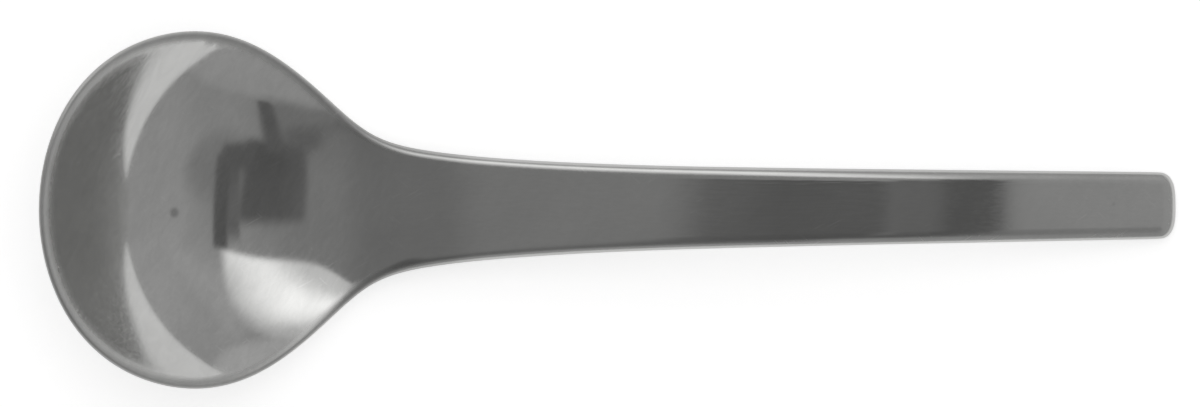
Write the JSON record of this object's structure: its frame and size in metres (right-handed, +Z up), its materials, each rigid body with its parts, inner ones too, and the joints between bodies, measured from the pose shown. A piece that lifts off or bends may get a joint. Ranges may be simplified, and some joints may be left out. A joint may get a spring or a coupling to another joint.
{
  "type": "sugar spoon",
  "caption": "One-piece stainless steel sugar spoon with a deep round bowl that tips up at the front, a narrow neck and an arched, square-ended handle.",
  "frame": {"origin": "on the table, under the middle of the spoon's length and width, with the spoon resting on its bowl and the end of its handle", "axes": "+X from the tip of the bowl to the end of the handle, +Y across the spoon, +Z up"},
  "size_m": [0.135, 0.0424, 0.021],
  "materials": {
    "steel": "polished with a soft satin"
  },
  "bodies": {
    "root": {"spoon": "steel"}
  },
  "joints": []
}
